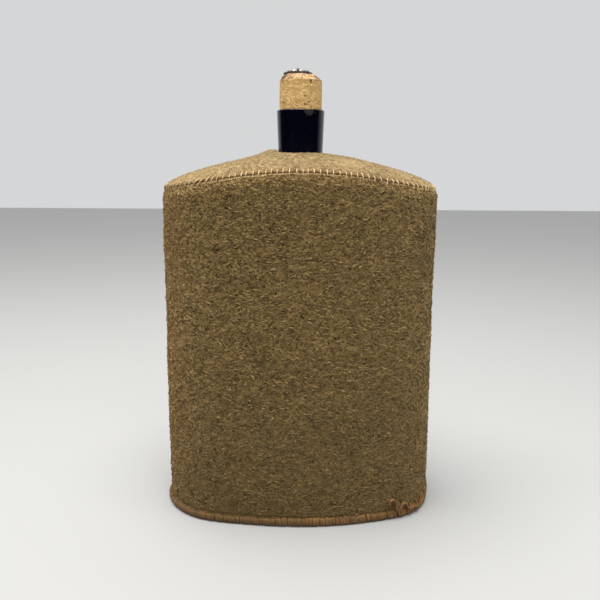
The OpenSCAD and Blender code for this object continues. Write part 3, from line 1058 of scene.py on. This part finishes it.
def enamel_material():
    """Dark navy enamel with fine specks, and a chip at the neck's front."""
    n = Nodes("navy_enamel")
    speck = n.noise(700, 2, 0.5)
    colour = n.mix(n.remap(speck, 0.66, 0.74), (0.0004, 0.0004, 0.0035), (0.008, 0.009, 0.025))
    edge = n.noise(520, 4, 0.65, distortion=0.5)
    chip = n.near((NECK_X + 4.6 * MM, NECK_Y - 11.4 * MM, RIM_Z - 1.2 * MM), 4.2 * MM)
    chip = n.remap(n.plus(chip, n.remap(edge, 0.3, 0.7, -0.4, 0.4)), 0.42, 0.5)
    colour = n.mix(chip, colour, (0.016, 0.016, 0.009))
    n.set(Base_Color=colour, Roughness=n.remap(chip, 0, 1, 0.16, 0.6), Specular_IOR_Level=0.2,
          Specular_Tint=(0.8, 0.8, 1.0, 1))
    wavy = n.noise(75, 2, 0.5)
    height = n.plus(n.times(wavy, 0.5), n.times(chip, -0.5))
    n.bump(height, 0.35, 0.5 * MM)
    return n.material


def rusty_material(name, shiny=0.0):
    """Rusty steel. With shiny, the face near the spindle is worn bright."""
    n = Nodes(name)
    rust = n.noise(650, 5, 0.65)
    colour = n.ramp(rust, [(0.35, (0.03, 0.026, 0.024)), (0.55, (0.075, 0.045, 0.03)), (0.75, (0.21, 0.085, 0.035))])
    metal = n.remap(rust, 0.4, 0.6, 0.9, 0.2)
    rough = n.remap(rust, 0.3, 0.7, 0.4, 0.85)
    if shiny:
        lo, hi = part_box("spindle")
        axis = ((lo[0] + hi[0]) / 2, (lo[1] + hi[1]) / 2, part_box("top_washer")[1][2])
        worn = n.remap(n.near(axis, 7.5 * MM), 0.26, 0.36)
        worn = n.times(worn, n.remap(rust, 0.62, 0.52, 0.3, shiny))
        colour = n.mix(worn, colour, (0.55, 0.53, 0.50))
        metal = n.most(metal, worn)
        rough = n.less(rough, n.times(worn, 0.35), clamp=True)
    n.set(Base_Color=colour, Metallic=metal, Roughness=rough)
    n.bump(n.noise(1100, 4, 0.6), 0.5, 0.15 * MM)
    return n.material


def ring_material():
    """Worn steel wire."""
    n = Nodes("worn_wire")
    worn = n.noise(500, 4, 0.6)
    colour = n.ramp(worn, [(0.4, (0.10, 0.085, 0.07)), (0.6, (0.5, 0.47, 0.43))])
    n.set(Base_Color=colour, Metallic=0.95, Roughness=n.remap(worn, 0.35, 0.65, 0.5, 0.22))
    n.bump(n.noise(1400, 3, 0.6), 0.3, 0.1 * MM)
    return n.material


def dress(material, *objects):
    for obj in objects:
        obj.data.materials.clear()
        obj.data.materials.append(material)


def dress_cad(material, *names):
    for name in names:
        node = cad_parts[name]
        for slot in node.material_slots:
            slot.material = material


# ---- stage and light

def area_light(name, at, aim, size, power, colour=(1, 1, 1)):
    data = bpy.data.lights.new(name, "AREA")
    data.shape = "RECTANGLE"
    data.size, data.size_y = size
    data.energy = power
    data.color = colour
    light = new_object(name, data)
    light.location = at
    light.rotation_euler = (Vector(aim) - Vector(at)).to_track_quat("-Z", "Y").to_euler()


SKY_STRENGTH = 1.15
WALL_STRENGTH = 1.05
SEEN_GREY = 0.68
FLOOR_SIZE = 2.5
FLOOR_COLOUR = (0.31, 0.31, 0.305, 1)
KEY_POWER = 23
FILL_POWER = 1.6


def make_stage():
    """A plain floor, a world with a bright wall behind, and two soft lights."""
    bm = bmesh.new()
    bmesh.ops.create_grid(bm, x_segments=1, y_segments=1, size=FLOOR_SIZE)
    mesh = bpy.data.meshes.new("floor")
    bm.to_mesh(mesh)
    bm.free()
    floor = new_object("floor", mesh)
    n = Nodes("floor_paint")
    n.set(Base_Color=FLOOR_COLOUR, Roughness=0.7)
    dress(n.material, floor)

    world = bpy.data.worlds.new("studio")
    world.use_nodes = True
    tree = world.node_tree
    new, link = tree.nodes.new, tree.links.new
    background = tree.nodes["Background"]
    direction = new("ShaderNodeTexCoord").outputs["Generated"]
    split = new("ShaderNodeSeparateXYZ")
    link(direction, split.inputs[0])

    def smooth(value, low, high, to_low, to_high):
        node = new("ShaderNodeMapRange")
        node.interpolation_type = "SMOOTHSTEP"
        link(value, node.inputs["Value"])
        return ranged(node, low, high, to_low, to_high)

    def maximum(a, b):
        node = new("ShaderNodeMath")
        node.operation = "MAXIMUM"
        link(a, node.inputs[0])
        link(b, node.inputs[1])
        return node.outputs[0]

    # Light from above and a pale wall behind; dark at eye level in front. The camera itself sees plain pale grey.
    sky = smooth(split.outputs["Z"], 0.15, 0.8, 0.015, SKY_STRENGTH)
    behind = new("ShaderNodeVectorMath")
    behind.operation = "DOT_PRODUCT"
    link(direction, behind.inputs[0])
    behind.inputs[1].default_value = (0.15, 1.0, 0.0)
    wall = smooth(behind.outputs["Value"], 0.12, 0.55, 0.0, WALL_STRENGTH)
    lit = maximum(sky, wall)
    path = new("ShaderNodeLightPath")
    seen = new("ShaderNodeMix")
    link(path.outputs["Is Camera Ray"], seen.inputs["Factor"])
    link(lit, seen.inputs[2])
    seen.inputs[3].default_value = SEEN_GREY
    background.inputs["Color"].default_value = (0.98, 0.99, 1.0, 1)
    link(seen.outputs[0], background.inputs["Strength"])
    bpy.context.scene.world = world
    area_light("key", (-0.12, -0.17, 1.1), (0, 0, 0.15), (0.9, 0.7), KEY_POWER, (1, 0.98, 0.95))
    area_light("fill", (0.1, -0.6, 0.68), (0, 0, 0.19), (0.5, 0.3), FILL_POWER)
    bpy.context.scene.view_settings.view_transform = "Standard"


# ---- build

FIBRES = 30000  # on each side of the strip

make_camera()
thread, fray = loose_thread()
make_stage()

wrap = felt_wrap()
shoulder = felt_shoulder()
base = felt_base()
top_seam = top_stitches()
bottom_seam = bottom_stitches()
mending = mending_stitches()
back_seam = back_stitches()
fibres = [fibres_on_wrap("felt_fibres_front", 5, 0.27 * PERIMETER, 0.73 * PERIMETER, FIBRES),
          fibres_on_wrap("felt_fibres_back", 6, 0.73 * PERIMETER, 1.27 * PERIMETER, FIBRES)]
shoulder_fibres = fibres_on_shoulder()
cork = cork_mesh()

felt = felt_material("olive_felt", [(0.28, (0.0105, 0.0046, 0.0003)), (0.5, (0.066, 0.0367, 0.0068)),
                                    (0.72, (0.272, 0.181, 0.065))], 1.2 * MM)
# The shoulder's felt: lighter partly in its own colour and partly as painted light falling from above.
felt_pale_with_painted_light = felt_material("pale_felt_with_painted_light", [(0.2, (0.170, 0.120, 0.053)), (0.5, (0.218, 0.158, 0.077)),
                                        (0.8, (0.265, 0.197, 0.102))], 0.1 * MM)
dress(felt, wrap, base)
dress(felt_pale_with_painted_light, shoulder)
dress(hair_material("felt_hair", [(0.1, (0.0095, 0.0042, 0.0003)), (0.45, (0.071, 0.040, 0.0079)),
                                  (0.95, (0.43, 0.308, 0.134))]), *fibres)
# The shoulder's fibres: the same lighter colour, partly painted light from above.
dress(hair_material("pale_felt_with_painted_light_hair", [(0.1, (0.20, 0.142, 0.068)), (0.9, (0.29, 0.217, 0.114))]), shoulder_fibres)
dress(thread_material("tan_thread", (0.30, 0.205, 0.095), (0.62, 0.47, 0.26),
                      (0.26, 0.165, 0.075)), top_seam)
dress(thread_material("brown_thread", (0.056, 0.025, 0.0055), (0.215, 0.100, 0.020),
                      (0.084, 0.043, 0.0080), 22, -2), bottom_seam, back_seam)
dress(thread_material("red_brown_yarn", (0.060, 0.023, 0.0048), (0.245, 0.115, 0.031),
                      (0.115, 0.062, 0.018)), thread, fray)
dress(thread_material("orange_yarn", (0.10, 0.042, 0.009), (0.34, 0.175, 0.045),
                      (0.115, 0.062, 0.018)), mending)
dress(cork_material(), cork)
dress_cad(enamel_material(), "bottle_wall", "bottle_shoulder", "bottle_base", "bottle_neck")
dress_cad(rusty_material("rusty_steel"), "bottom_washer", "spindle")
dress_cad(rusty_material("worn_washer", 1.0), "top_washer")
dress_cad(ring_material(), "pull_ring")

bpy.context.view_layer.update()
